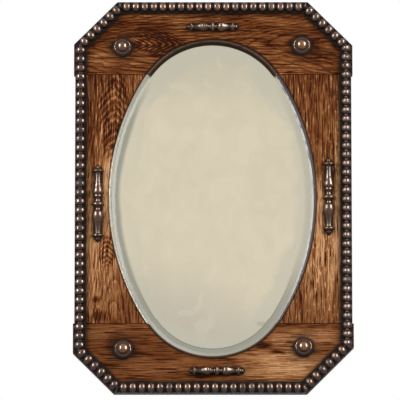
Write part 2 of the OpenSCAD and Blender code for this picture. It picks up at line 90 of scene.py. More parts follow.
class Wire:
    """A number that varies over a surface: one socket, whose arithmetic adds Math nodes."""

    def __init__(self, bench: Bench, socket: bpy.types.NodeSocket) -> None:
        """Keeps the bench that adds the nodes, and the socket."""
        self.bench = bench
        self.socket = socket

    def _math(self, operation: str, *terms: Term) -> Wire:
        """Adds one Math node.

        Args:
            operation: The node's operation.
            terms: The values or wires that it works on, in order.

        Returns:
            The node's result.
        """
        node = self.bench.add("ShaderNodeMath", {"operation": operation}, dict(enumerate(terms)))
        return Wire(self.bench, node.outputs[0])

    def __add__(self, other: Term) -> Wire:
        """self + other."""
        return self._math("ADD", self, other)

    def __radd__(self, other: Term) -> Wire:
        """other + self."""
        return self._math("ADD", other, self)

    def __sub__(self, other: Term) -> Wire:
        """self - other."""
        return self._math("SUBTRACT", self, other)

    def __rsub__(self, other: Term) -> Wire:
        """other - self."""
        return self._math("SUBTRACT", other, self)

    def __mul__(self, other: Term) -> Wire:
        """self * other."""
        return self._math("MULTIPLY", self, other)

    def __rmul__(self, other: Term) -> Wire:
        """other * self."""
        return self._math("MULTIPLY", other, self)

    def __truediv__(self, other: Term) -> Wire:
        """self / other."""
        return self._math("DIVIDE", self, other)

    def __rtruediv__(self, other: Term) -> Wire:
        """other / self."""
        return self._math("DIVIDE", other, self)

    def __neg__(self) -> Wire:
        """-self."""
        return self._math("MULTIPLY", self, -1.0)

    def size(self) -> Wire:
        """The value without its sign."""
        return self._math("ABSOLUTE", self)

    def part(self) -> Wire:
        """The part after the decimal point."""
        return self._math("FRACT", self)

    def least(self, other: Term) -> Wire:
        """The smaller of the two."""
        return self._math("MINIMUM", self, other)

    def most(self, other: Term) -> Wire:
        """The larger of the two."""
        return self._math("MAXIMUM", self, other)

    def above(self, edge: Term) -> Wire:
        """1 where the value is over edge, else 0."""
        return self._math("GREATER_THAN", self, edge)

    def reach(self, other: Term) -> Wire:
        """The length of the line whose two legs are self and other."""
        square = self * self + other * other
        return square._math("SQRT", square)

    def fade(self, start: float, stop: float) -> Wire:
        """Rises smoothly from 0 to 1.

        Args:
            start: The value at which it leaves 0.
            stop: The value at which it reaches 1, which may be the smaller of the two.

        Returns:
            The share.
        """
        node = self.bench.add(
            "ShaderNodeMapRange",
            {"interpolation_type": "SMOOTHSTEP"},
            {0: self, 1: start, 2: stop, 3: 0.0, 4: 1.0},
        )
        return Wire(self.bench, node.outputs[0])


Term = Union[Wire, float]
Paint = Union[bpy.types.NodeSocket, Colour]


class Bench:
    """The node tree of one finish, with one method that adds any node to it."""

    def __init__(self, tree: bpy.types.NodeTree) -> None:
        """Clears the tree.

        Args:
            tree: The tree of a material or of the world.
        """
        self.tree = tree
        tree.nodes.clear()

    def add(
        self,
        kind: str,
        settings: Mapping[str, object] | None = None,
        sockets: Mapping[Union[int, str], object] | None = None,
    ) -> bpy.types.Node:
        """Adds a node, sets its settings and then its sockets.

        Args:
            kind: The node's type.
            settings: The node's properties by name. "stops" gives the places and colours of a
                ramp, from 0 to 1.
            sockets: A value, a wire or another node's socket for each input.

        Returns:
            The node.
        """
        node = self.tree.nodes.new(kind)
        for name, value in (settings or {}).items():
            if name == "stops":
                elements = node.color_ramp.elements
                elements[0].color, elements[-1].color = value[0][1], value[-1][1]
                for place, colour in value[1:-1]:
                    elements.new(place).color = colour
            else:
                setattr(node, name, value)
        for key, value in (sockets or {}).items():
            source = value.socket if isinstance(value, Wire) else value
            if isinstance(source, bpy.types.NodeSocket):
                self.tree.links.new(source, node.inputs[key])
            else:
                node.inputs[key].default_value = source
        return node

    @cached_property
    def place(self) -> bpy.types.NodeSocket:
        """Where a point lies in the frame, as a vector."""
        return self.add("ShaderNodeTexCoord").outputs["Object"]

    def _split(self, vector: bpy.types.NodeSocket) -> tuple[Wire, Wire, Wire]:
        """Takes a vector apart.

        Args:
            vector: The vector.

        Returns:
            Its x, y and z.
        """
        node = self.add("ShaderNodeSeparateXYZ", None, {0: vector})
        x, y, z = (Wire(self, output) for output in node.outputs)
        return x, y, z

    @cached_property
    def axes(self) -> tuple[Wire, Wire, Wire]:
        """Where a point lies in the frame, as x, y and z."""
        return self._split(self.place)

    @cached_property
    def facing(self) -> tuple[Wire, Wire, Wire]:
        """Which way the surface faces in the frame, as x, y and z."""
        return self._split(self.add("ShaderNodeTexCoord").outputs["Normal"])

    def noise(
        self, scale: Triple, shift: float = 0.0, detail: float = 2.0, twist: float = 0.0
    ) -> Wire:
        """A cloudy pattern about 0.5.

        Args:
            scale: How many blotches there are in a metre, along x, y and z.
            shift: Moves the pattern, so that two of one scale differ.
            detail: How many finer layers it has.
            twist: How far the pattern bends itself.

        Returns:
            The pattern.
        """
        field = self.add(
            "ShaderNodeVectorMath",
            {"operation": "MULTIPLY_ADD"},
            {0: self.place, 1: scale, 2: (shift, shift * 0.7, shift * 1.3)},
        )
        node = self.add(
            "ShaderNodeTexNoise",
            None,
            {"Vector": field.outputs[0], "Scale": 1.0, "Detail": detail, "Distortion": twist},
        )
        return Wire(self, node.outputs[0])

    def dots(self, scale: Triple) -> Wire:
        """The distance to the nearest of many scattered points.

        Args:
            scale: Points in a metre, along x, y and z.

        Returns:
            The distance, in cells.
        """
        field = self.add(
            "ShaderNodeVectorMath", {"operation": "MULTIPLY"}, {0: self.place, 1: scale}
        )
        node = self.add("ShaderNodeTexVoronoi", None, {"Vector": field.outputs[0], "Scale": 1.0})
        return Wire(self, node.outputs["Distance"])

    def mix(self, share: Term, first: Paint, second: Paint) -> bpy.types.NodeSocket:
        """Goes from the first colour at 0 to the second at 1."""
        node = self.add("ShaderNodeMix", {"data_type": "RGBA"}, {0: share, 6: first, 7: second})
        return node.outputs[2]

    def bump(self, height: Wire, depth: float, strength: float = 1.0) -> bpy.types.NodeSocket:
        """Raises the surface by height times depth in metres, and returns the normal."""
        sockets = {"Strength": strength, "Distance": depth, "Height": height}
        return self.add("ShaderNodeBump", None, sockets).outputs[0]

    def surface(self, sockets: Mapping[str, object]) -> None:
        """Ends the tree in a Principled shader with these sockets."""
        shader = self.add("ShaderNodeBsdfPrincipled", None, sockets)
        self.add("ShaderNodeOutputMaterial", None, {"Surface": shader.outputs[0]})


@dataclass(frozen=True)
class Finish:
    """A finish under the name that its material gets."""

    name: str

    def material(self) -> bpy.types.Material:
        """Makes the material and lets the kind of finish fill its tree.

        Returns:
            The material.
        """
        material = bpy.data.materials.new(self.name)
        material.use_nodes = True
        self.fill(Bench(material.node_tree))
        return material

    def fill(self, bench: Bench) -> None:
        """Fills the tree of the material.

        Args:
            bench: The tree in work.
        """
        raise NotImplementedError


@dataclass(frozen=True)
class Oval:
    """The opening, struck from four centres: two long side arcs and an arc at each end.

    Attributes:
        x: Where its middle lies across.
        z: Where its middle lies upright.
        side_r: The radius of the side arcs.
        side_beyond: How far the centre of a side arc lies beyond the middle.
        rise_top: How far the joint of the arcs at the top lies above the middle.
        rise_bottom: How far the joint at the bottom lies below it.
        half_high: Half the height of the oval.
    """

    x: float = -0.0015
    z: float = -0.002
    side_r: float = 0.409
    side_beyond: float = 0.2265
    rise_top: float = 0.2215
    rise_bottom: float = 0.2245
    half_high: float = 0.2855

    def end(self, rise: float) -> tuple[float, float, float]:
        """Works out the arc that closes the oval above or below a joint.

        Args:
            rise: How far the joint lies from the middle.

        Returns:
            The slope of the line through both centres, how far the end arc's centre lies from
            the middle, and its radius.
        """
        run = math.sqrt(self.side_r**2 - rise**2)
        slope = rise / run
        centre = slope * self.side_beyond
        return slope, centre, self.half_high - centre

    def depth(self, bench: Bench) -> Wire:
        """How far a point lies from the oval's front edge.

        Args:
            bench: The tree in work.

        Returns:
            The distance, which is below zero inside the oval.
        """
        x, _, z = bench.axes
        out, up = (x - self.x).size(), z - self.z
        edge = (out + self.side_beyond).reach(up) - self.side_r
        total = edge
        for sign, rise in ((1.0, self.rise_top), (-1.0, self.rise_bottom)):
            slope, centre, radius = self.end(rise)
            height = up * sign
            beyond = (height - (out + self.side_beyond) * slope).above(0.0)
            total = total + (out.reach(height - centre) - radius - edge) * beyond
        return total

    def outline(self, offset: float, steps: int = 48) -> list[tuple[float, float]]:
        """Points round the oval, at an offset outwards.

        Args:
            offset: How far outside the front edge the points lie.
            steps: How many points each of the four arcs gets.

        Returns:
            The points as x and z, clockwise from the top joint on the right.
        """
        points: list[tuple[float, float]] = []
        top, bottom = self.end(self.rise_top), self.end(self.rise_bottom)
        turn_top, turn_bottom = math.atan(top[0]), math.atan(bottom[0])
        arcs = (
            (-self.side_beyond, 0.0, self.side_r, turn_top, -turn_bottom),
            (0.0, -bottom[1], bottom[2], -turn_bottom, turn_bottom - math.pi),
            (self.side_beyond, 0.0, self.side_r, turn_bottom - math.pi, -math.pi - turn_top),
            (0.0, top[1], top[2], -math.pi - turn_top, turn_top - 2 * math.pi),
        )
        for centre_x, centre_z, radius, start, stop in arcs:
            for step in range(steps):
                turn = start + (stop - start) * step / steps
                x = self.x + centre_x + (radius + offset) * math.cos(turn)
                z = self.z + centre_z + (radius + offset) * math.sin(turn)
                points.append((x, z))
        return points


OVAL = Oval()


class Grain(Enum):
    """Which way the grain of a board runs."""

    ACROSS = "across"
    UPRIGHT = "upright"


@dataclass(frozen=True)
class Patch:
    """A soft-edged place that is lighter or darker than what lies round it.

    Attributes:
        x: Where its middle lies across.
        z: Where its middle lies upright.
        wide: How far it reaches to either side.
        high: How far it reaches up and down.
        lift: How much lighter it is, or darker below zero.
    """

    x: float
    z: float
    wide: float
    high: float
    lift: float

    def away(self, x: Wire, z: Wire) -> Wire:
        """How far a point lies from its middle, where 1 is its edge."""
        return ((x - self.x) / self.wide).reach((z - self.z) / self.high)


@dataclass(frozen=True)
class Figure:
    """Nested growth rings cut into arches whose tops point along the grain.

    Attributes:
        x: Where its middle lies across.
        z: Where its middle lies upright.
        long: How far it reaches along the grain to either side.
        wide: How far it reaches across the grain.
        taper: How long the arches are drawn out.
        blunt: How round their tops are.
        spacing: How far one arch lies from the next.
        strength: How dark they are.
    """

    x: float
    z: float
    long: float
    wide: float
    taper: float
    blunt: float
    spacing: float
    strength: float = 0.5


@dataclass(frozen=True)
class Applied:
    """The foot of a turned piece on the face, round which grime and painted shade lie.

    Attributes:
        x: Where its middle lies across.
        z: Where its middle lies upright.
        half_wide: Half its width, or its radius where it is round.
        half_high: Half its height.
        round: Whether it is a circle and not a bar with round ends.
    """

    x: float
    z: float
    half_wide: float
    half_high: float
    round: bool = False

    def away(self, x: Wire, z: Wire) -> Wire:
        """How far a point of the face lies outside the piece's foot.

        Args:
            x: Where the point lies across.
            z: Where the point lies upright.

        Returns:
            The distance, which is below zero under the piece.
        """
        if self.round:
            return (x - self.x).reach(z - self.z) - self.half_wide
        core = min(self.half_wide, self.half_high)
        wide, high = self.half_wide - core, self.half_high - core
        over_x = ((x - self.x).size() - wide).most(0.0)
        over_z = ((z - self.z).size() - high).most(0.0)
        return over_x.reach(over_z) - core


@dataclass(frozen=True)
class StainedOak(Finish):
    """Plain-sawn oak under old stain and wax, with its rings, pores and flecks, grime and painted
    shade beside the applied pieces, and painted light and shade at the opening.

    Attributes:
        grain: Which way the grain runs.
        pith: Where the middle of the tree lay, across the grain.
        heart: How far in front of the face it lay.
        taper: How far the rings shift in a metre along the grain.
        spacing: How wide a growth ring is.
        wander: How far the rings bend in slow waves.
        ripple: How far they bend in quick ones.
        level: The tone that the board varies about, from 0 to 1.
        contrast: How strong the streaks are.
        thread: How strong the finest threads are.
        dash: How dark the short dashes are.
        run: How many streaks a metre holds along the grain.
        seed: Moves the patterns, so that no two boards are alike.
        corners: The side, the end and the cant of each cut corner.
        joints: How high the joints with other boards lie.
        patches: Places of another tone.
        applied: The turned pieces on the board.
        figures: Places where the grain makes arches.
        rings: How dark the early wood is.
        reveal: The colour of the wall of the opening.
        reveal_sheen: How much that wall shines, from 0 to 1.
        painted_streak: How strong the painted line of light along that wall is.
        streak_in: How far in from the front edge the line runs.
        streak_colour: The colour of that painted line of light.
        streak_span: Where along x the line starts and where it is full.
        strip_dirt_and_shade: How far grime and painted shade reach from the bead moulding.
        baluster_dirt_and_shade: How far they reach from a baluster.
        boss_dirt_and_shade: How far they reach from a boss.
        boss_halo_dirt_and_shade: How far the thinner grime and painted shade round a boss reach.
        dirt_and_shade_colour: The colour of the grime and painted shade.
        gap_colour: The colour of the line at a joint.
        arris_shade_colour: The colour of the painted shade along the front edge of the opening.
        tones: The places and colours of the wood's tones, from dark to light.
    """

    grain: Grain
    pith: float
    heart: float
    taper: float
    spacing: float
    wander: float
    ripple: float
    level: float
    contrast: float
    thread: float
    dash: float
    run: float
    seed: float
    corners: tuple[tuple[float, float, float], ...]
    joints: tuple[float, ...]
    patches: tuple[Patch, ...] = ()
    applied: tuple[Applied, ...] = ()
    figures: tuple[Figure, ...] = ()
    rings: float = 0.4
    reveal: Colour = srgb(70, 52, 36)
    reveal_sheen: float = 0.0
    painted_streak: float = 0.2
    streak_in: float = 0.0042
    streak_colour: Colour = srgb(160, 152, 130)
    streak_span: tuple[float, float] = (1.0, 0.9)
    strip_dirt_and_shade: float = 0.005
    baluster_dirt_and_shade: float = 0.0035
    boss_dirt_and_shade: float = 0.0075
    boss_halo_dirt_and_shade: float = 0.020
    dirt_and_shade_colour: Colour = srgb(38, 27, 20)
    gap_colour: Colour = srgb(24, 15, 11)
    arris_shade_colour: Colour = srgb(24, 15, 10)
    tones: tuple[tuple[float, Colour], ...] = (
        (0.0, srgb(44, 14, 4)), (0.12, srgb(76, 33, 5)), (0.27, srgb(100, 52, 18)),
        (0.40, srgb(121, 70, 34)), (0.54, srgb(141, 88, 50)), (0.70, srgb(163, 111, 71)),
        (0.85, srgb(188, 134, 87)), (1.0, srgb(216, 162, 114)),
    )

    def _scale(self, along: float, across: float) -> Triple:
        """A pattern's scale with the grain and across it, as x, y and z."""
        upright = self.grain is Grain.UPRIGHT
        return (across, across, along) if upright else (along, across, across)

    def _growth(self, bench: Bench) -> Wire:
        """How far a point lies through its growth ring.

        Args:
            bench: The tree in work.

        Returns:
            The share, from 0 to 1.
        """
        x, y, z = bench.axes
        along, across = (x, z) if self.grain is Grain.ACROSS else (z, x)
        wander = bench.noise(self._scale(6, 15), self.seed, 1.0) - 0.5
        ripple = bench.noise(self._scale(34, 90), self.seed + 3, 2.0) - 0.5
        off = across - self.pith + wander * self.wander + ripple * self.ripple
        rings = off.reach(y + (FACE + self.heart)) + along * self.taper
        return (rings / self.spacing).part()

    def _dirt_and_shade(self, bench: Bench) -> Wire:
        """How much grime and painted shade a point of the face has.

        Args:
            bench: The tree in work.

        Returns:
            The share of grime and painted shade, from 0 to 1.
        """
        x, _, z = bench.axes
        inside = (HALF_WIDE - STILE_INSET - STRIP - x.size()).least(HALF_HIGH - STRIP - z.size())
        for side, end, cant in self.corners:
            line = (HALF_WIDE + HALF_HIGH - cant - (x * side + z * end)) * math.sqrt(0.5)
            inside = inside.least(line - (STRIP + CORNER_INSET))
        # Grime and painted shade: darker beside the bead moulding and round the balusters and
        # bosses.
        dirt_and_shade = inside.fade(self.strip_dirt_and_shade, 0.0) * 0.6
        for piece in self.applied:
            away = piece.away(x, z)
            reach = self.boss_dirt_and_shade if piece.round else self.baluster_dirt_and_shade
            dirt_and_shade = dirt_and_shade.most(away.fade(reach, 0.0) * 0.8)
            if piece.round:
                dirt_and_shade = dirt_and_shade.most(away.fade(self.boss_halo_dirt_and_shade, 0.0) * 0.4)
        return dirt_and_shade * bench.noise((90, 90, 90), self.seed + 9, 3.0).fade(0.2, 0.5)

    def _tone(self, bench: Bench, early: Wire, streaks: Wire, pores: Wire) -> Wire:
        """How light the wood is, from 0 to 1.

        Args:
            bench: The tree in work.
            early: The share of open early wood.
            streaks: A pattern of streaks about 0.5.
            pores: 1 in a pore, else 0.

        Returns:
            The place of the tone between the darkest and the lightest.
        """
        x, _, z = bench.axes
        cloud = bench.noise(self._scale(9, 28), self.seed + 5, 3.0, 0.6) - 0.5
        threads = bench.noise(self._scale(46, 760), self.seed + 4, 1.0) - 0.5
        dashes = bench.noise(self._scale(self.run * 1.6, 680), self.seed + 13, 1.0).fade(0.53, 0.61)
        flecks = bench.noise(self._scale(110, 420), self.seed + 7, 1.0).fade(0.62, 0.7)
        tone = self.level + cloud * 0.5
        for patch in self.patches:
            spot = patch.away(x, z) + cloud * 1.6 + (streaks - 0.5) * 1.8 + threads * 2.2
            tone = tone + spot.fade(1.2, 0.4) * patch.lift
        fibres = (streaks - 0.5) * self.contrast + threads * self.thread
        tone = tone + (fibres + flecks * (self.thread * 0.2)) * (tone * 1.8)
        tone = tone - early * (streaks * 0.6 + 0.4) * self.rings
        tone = tone - dashes * self.dash - pores * 0.08
        for figure in self.figures:
            along, across = x - figure.x, z - figure.z
            if self.grain is Grain.UPRIGHT:
                along, across = across, along
            phase = (across.reach(figure.blunt) + along * figure.taper) / figure.spacing
            arches = ((phase + (streaks - 0.5) * 0.8).part() - 0.5).size().fade(0.07, 0.28)
            inside = (along / figure.long).reach(across / figure.wide) + cloud
            tone = tone - arches * inside.fade(1.1, 0.6) * figure.strength
        return tone

    def fill(self, bench: Bench) -> None:
        """Fills the tree of the material.

        Args:
            bench: The tree in work.
        """
        x, _, z = bench.axes
        growth = self._growth(bench)
        early = growth.fade(0.45, 0.0)
        pores = bench.noise(self._scale(75, 1500), self.seed + 1, 1.0).fade(0.52, 0.66)
        streaks = bench.noise(self._scale(self.run, 330), self.seed + 2, 3.0)
        tone = self._tone(bench, early, streaks, pores)
        ramp = bench.add("ShaderNodeValToRGB", {"stops": self.tones}, {0: tone})
        colour = bench.mix(self._dirt_and_shade(bench), ramp.outputs[0], self.dirt_and_shade_colour)
        for joint in self.joints:
            gap = (z - joint).size().fade(0.0012, 0.0004)
            colour = bench.mix(gap * 0.85, colour, self.gap_colour)
        depth = OVAL.depth(bench)
        inside = depth.fade(0.0006, -0.0008)
        # Painted shade: a dark line along the front edge of the opening.
        rim = (depth - 0.0006).size().fade(0.0022, 0.0006)
        # Painted highlight: a line of light along the wall of the opening.
        painted_streak = (depth + self.streak_in).size().fade(0.0014, 0.0005)
        painted_streak = painted_streak * streaks.fade(0.4, 0.48) * x.fade(*self.streak_span) * self.painted_streak
        wall = bench.mix(painted_streak, self.reveal, self.streak_colour)
        colour = bench.mix(inside, colour, wall)
        colour = bench.mix(rim * 0.85, colour, self.arris_shade_colour)
        gloss = bench.noise(self._scale(30, 120), self.seed + 11, 2.0)
        relief = (1 - pores * 0.7 - early * 0.4) + growth * 0.2
        bench.surface(
            {
                "Base Color": colour,
                "Roughness": 0.42 + gloss * 0.16 - inside * (0.22 + 0.1 * self.reveal_sheen),
                "Metallic": inside * self.reveal_sheen,
                "Specular IOR Level": 0.06,
                "Normal": bench.bump(relief, 0.00022),
            }
        )


@dataclass(frozen=True)
class DarkTurned(Finish):
    """Near-black stained and waxed wood, rubbed through to brown where it stands proud, with
    painted highlights, and grime and painted shade in its hollows.

    Attributes:
        low: How far from the wall its hollows lie.
        high: How far from the wall its proudest places lie.
        worn: The colour where it is rubbed through.
        body: The colour of the stain.
        hollow_dirt_and_shade: The colour of the grime and painted shade in the hollows, close to
            the face.
        rub: How much of it is rubbed through.
        rubbed_from: How proud a place is where the rubbing starts, from 0 to 1.
        waxed_from: How proud a place is where the wax starts to shine, from 0 to 1.
        sheen: How much the rubbed places shine.
        shoulder: How far to the side the slopes that get the painted highlight face.
        tilt: How far up they face.
        highlight_paint: The colour of the highlight painted on them.
        highlight_paint_share: How strong that painted highlight is.
        coat_from: How squarely a place faces the front where its coat of wax starts.
        grain: The scale of the fibres along x, y and z.
    """

    low: float
    high: float
    worn: Colour
    body: Colour = srgb(58, 36, 26)
    hollow_dirt_and_shade: Colour = srgb(24, 19, 15)
    rub: float = 0.9
    rubbed_from: float = 0.7
    waxed_from: float = 0.3
    sheen: float = 0.5
    shoulder: float = 0.45
    tilt: float = 0.08
    highlight_paint: Colour = srgb(206, 176, 152)
    highlight_paint_share: float = 0.7
    coat_from: float = 0.35
    grain: Triple = (300.0, 300.0, 300.0)

    def fill(self, bench: Bench) -> None:
        """Fills the tree of the material.

        Args:
            bench: The tree in work.
        """
        _, y, _ = bench.axes
        proud = (-y).fade(self.low, self.high)
        mottle = bench.noise((190, 190, 190), 2.0, 3.0, 0.4)
        fibres = bench.noise(self.grain, 5.0, 2.0)
        # Grime and painted shade: darker where the wood lies close to the face, in its hollows.
        colour = bench.mix(proud.fade(0.1, 0.65), self.hollow_dirt_and_shade, self.body)
        luck = bench.noise((45, 45, 45), 7.0, 1.0) - 0.5
        rough = proud + (mottle - 0.5) * 0.6 + (fibres - 0.5) * 0.3 + luck * 0.25
        rubbed = rough.fade(self.rubbed_from, 1.05) * self.rub
        colour = bench.mix(rubbed, colour, self.worn)
        nicks = bench.dots((140, 140, 140)).fade(0.16, 0.05)
        colour = bench.mix(nicks * 0.5, colour, self.hollow_dirt_and_shade)
        waxed = proud.fade(self.waxed_from - 0.2, self.waxed_from + 0.2)
        # Painted highlight: a pale patch where the waxed surface turns aside and a little up,
        # towards the lamps.
        across, front, up = bench.facing
        shoulders = (across.size() - self.shoulder).size().fade(0.2, 0.05)
        shoulders = shoulders * (up - self.tilt).size().fade(0.4, 0.12)
        highlight_painted = shoulders * waxed * (mottle + luck * 0.5).fade(0.3, 0.46) * self.highlight_paint_share
        coated = waxed * (-front).fade(self.coat_from, self.coat_from + 0.4)
        colour = bench.mix(highlight_painted, colour, self.highlight_paint)
        bench.surface(
            {
                "Base Color": colour,
                "Roughness": 0.26 + mottle * 0.14,
                "Metallic": (rubbed * self.sheen).most(highlight_painted * 0.9),
                "Specular IOR Level": 0.15,
                "Coat Weight": coated * 0.9,
                "Coat Roughness": 0.12,
                "Coat IOR": 1.35,
                "Normal": bench.bump(fibres + mottle * 0.6 - nicks * 0.8, 0.0002, 0.8),
            }
        )


@dataclass(frozen=True)
class OldSilvering(Finish):
    """The face of an old looking glass: warm silvering, a bevel greyed by painted reflection, haze
    and specks, with painted highlights and a painted shadow at its edge.

    Attributes:
        centre: The silvering in the middle.
        upper: The silvering towards the top.
        lower: The silvering towards the bottom.
        haze: The dull band inside the bevel.
        bevel: The painted reflection that greys the ground bevel.
        bevel_light: The painted highlight on the bevel's outer band.
        black: The painted shadow along the edge at the rails.
        smudge: The smudge below on the right.
        bevel_in: How far in from the opening's front edge the bevel ends.
        outer_in: How far in its bright outer band of painted highlight ends.
        white_in: How far in the painted white highlight beside the edge ends.
        seam_in: How far in the painted shadow at the rails ends.
    """

    centre: Colour = srgb(215, 204, 180)
    upper: Colour = srgb(198, 190, 168)
    lower: Colour = srgb(192, 185, 168)
    haze: Colour = srgb(193, 190, 173)
    bevel: Colour = srgb(150, 150, 136)
    bevel_light: Colour = srgb(238, 238, 224)
    black: Colour = srgb(22, 17, 10)
    smudge: Patch = Patch(0.083, -0.225, 0.009, 0.004, -0.35)
    bevel_in: float = 0.018
    outer_in: float = 0.0105
    white_in: float = 0.0080
    seam_in: float = 0.0086

    def _face(
        self, bench: Bench, depth: Wire, cloud: Wire, fine: Wire
    ) -> bpy.types.NodeSocket:
        """The silvering inside the bevel, in soft blotches.

        Args:
            bench: The tree in work.
            depth: How far a point lies outside the opening's front edge.
            cloud: A slow pattern about 0.
            fine: A quick pattern about 0.

        Returns:
            The colour.
        """
        x, _, z = bench.axes
        colour = bench.mix((z + cloud * 0.1).fade(0.12, 0.27), self.centre, self.upper)
        colour = bench.mix((z + x * 0.35 + cloud * 0.06).fade(-0.12, -0.26), colour, self.lower)
        blotch = bench.noise((24, 24, 20), 14.0, 3.0, 0.8)
        colour = bench.mix(blotch.fade(0.46, 0.64) * 0.18, colour, srgb(196, 192, 166))
        colour = bench.mix(blotch.fade(0.44, 0.34) * 0.18, colour, srgb(226, 216, 194))
        rim = (depth + cloud * 0.09 + fine * 0.012).fade(-0.046, -0.028)
        colour = bench.mix(rim * (0.6 - (-x).fade(0.10, 0.15) * 0.5), colour, self.haze)
        smudge = (self.smudge.away(x, z) + fine * 2.0).fade(1.2, 0.6) * -self.smudge.lift
        return bench.mix(smudge, colour, srgb(150, 142, 124))

    def fill(self, bench: Bench) -> None:
        """Fills the tree of the material.

        Args:
            bench: The tree in work.
        """
        x, _, z = bench.axes
        depth = OVAL.depth(bench)
        cloud = bench.noise((11, 11, 9), 4.0, 3.0, 0.5) - 0.5
        fine = bench.noise((60, 60, 60), 6.0, 3.0) - 0.5
        colour = self._face(bench, depth, cloud, fine)
        low, left, right = z.fade(-0.10, -0.22), (-x).fade(0.10, 0.15), x.fade(0.10, 0.15)
        rails = z.fade(0.214, 0.222)
        # Painted reflection: the bevel greyed, most at the bottom and on the left, crisp at the
        # bottom.
        soft = (depth + cloud * 0.008).fade(-self.bevel_in - 0.005, -self.bevel_in + 0.003)
        crisp = depth.fade(-self.bevel_in - 0.0008, -self.bevel_in + 0.0004)
        share = (low * 0.85 + left * 0.9 + right * 0.3).least(0.88)
        ground = (crisp * low + soft * (1 - low)) * share
        colour = bench.mix(ground, colour, self.bevel)
        # Painted reflection: a dark line along the bevel's inner edge at the bottom.
        line = (depth + self.bevel_in).size().fade(0.0014, 0.0004) * low
        colour = bench.mix(line * 0.5, colour, srgb(108, 108, 88))
        # Painted highlights: a bright outer band of the bevel on the left and a paler one at the
        # bottom.
        outer = (depth + fine * 0.004).fade(-self.outer_in - 0.0013, -self.outer_in + 0.0013)
        colour = bench.mix(outer * left * (1 - low * 0.8) * 0.85, colour, self.bevel_light)
        pale = outer * low * (x.fade(0.04, -0.08) * 0.6 + 0.2)
        colour = bench.mix(pale, colour, srgb(188, 186, 176))
        # Painted highlight: a white line beside the edge, at the sides.
        white = (depth + fine * 0.002).fade(-self.white_in - 0.0006, -self.white_in + 0.0006)
        white = white * (right + left) * (1 - low)
        colour = bench.mix(white * 0.9, colour, srgb(238, 236, 230))
        # Painted shadow: a black line along the edge at the rails.
        seam_shadow = depth.fade(-self.seam_in - 0.0006, -self.seam_in + 0.0006) * rails
        colour = bench.mix(seam_shadow * 0.95, colour, self.black)
        specks = bench.dots((170, 170, 170)).fade(0.14, 0.05)
        sparse = bench.noise((36, 36, 36), 8.0, 2.0).fade(0.52, 0.64) * (0.4 + low * 0.6)
        colour = bench.mix(specks * sparse * 0.6, colour, srgb(96, 92, 80))
        matt = (outer * left * 0.65).most(white * 0.8).most(seam_shadow)
        dulled = (depth + 0.035).fade(-0.015, 0.015)
        bench.surface(
            {
                "Base Color": colour,
                "Metallic": 1.0 - (specks * sparse * 0.7).most(matt),
                "Roughness": 0.045 + dulled * 0.1 + (fine + 0.5) * 0.03,
                "Specular IOR Level": 0.1,
            }
        )


@dataclass(frozen=True)
class Plywood(Finish):
    """Old birch ply: a brown face veneer, and thin layers on the edge."""

    face: Colour = srgb(158, 121, 82)
    deep: Colour = srgb(112, 82, 54)
    ply: float = 0.001
    thickness: float = 0.005

    def fill(self, bench: Bench) -> None:
        """Fills the tree of the material.

        Args:
            bench: The tree in work.
        """
        _, y, _ = bench.axes
        grain = bench.noise((260, 40, 7), 1.0, 3.0, 0.3)
        waves = bench.noise((34, 8, 5), 3.0, 2.0, 0.8)
        bands = (waves * 9).part().fade(0.0, 1.0)
        stain = bench.noise((7, 7, 7), 8.0, 3.0, 0.5).fade(0.42, 0.62)
        colour = bench.mix(grain.fade(0.3, 0.7) * 0.6 + bands * 0.35, self.face, self.deep)
        colour = bench.mix(stain * 0.45, colour, srgb(96, 70, 47))
        layers = ((y / (2 * self.ply)).part() - 0.5).above(0.0)
        middle = self.thickness / 2
        inside = (y + middle).size().fade(middle - 0.0002, middle - 0.0004)
        colour = bench.mix(layers * inside * 0.55, colour, srgb(88, 62, 40))
        bench.surface(
            {
                "Base Color": colour,
                "Roughness": 0.72 + grain * 0.15,
                "Specular IOR Level": 0.25,
                "Normal": bench.bump(grain + bands * 0.4, 0.00015),
            }
        )


@dataclass(frozen=True)
class PlainWood(Finish):
    """Unstained wood of dowels and blocks."""

    light: Colour
    dark: Colour
    grain: Triple

    def fill(self, bench: Bench) -> None:
        """Fills the tree of the material.

        Args:
            bench: The tree in work.
        """
        fibres = bench.noise(self.grain, 2.0, 3.0, 0.3)
        bench.surface(
            {
                "Base Color": bench.mix(fibres.fade(0.3, 0.7), self.light, self.dark),
                "Roughness": 0.66 + fibres * 0.2,
                "Specular IOR Level": 0.25,
                "Normal": bench.bump(fibres, 0.0002),
            }
        )


@dataclass(frozen=True)
class GreyCard(Finish):
    """Packing card: soft, pulpy and foxed."""

    colour: Colour = srgb(150, 136, 112)

    def fill(self, bench: Bench) -> None:
        """Fills the tree of the material.

        Args:
            bench: The tree in work.
        """
        pulp = bench.noise((500, 500, 500), 1.0, 3.0)
        blotch = bench.noise((22, 22, 22), 4.0, 3.0).fade(0.45, 0.68)
        paper = bench.mix(pulp.fade(0.35, 0.65), self.colour, srgb(172, 158, 132))
        bench.surface(
            {
                "Base Color": bench.mix(blotch * 0.5, paper, srgb(118, 92, 62)),
                "Roughness": 0.88 - pulp * 0.08,
                "Specular IOR Level": 0.2,
                "Normal": bench.bump(pulp, 0.0001),
            }
        )


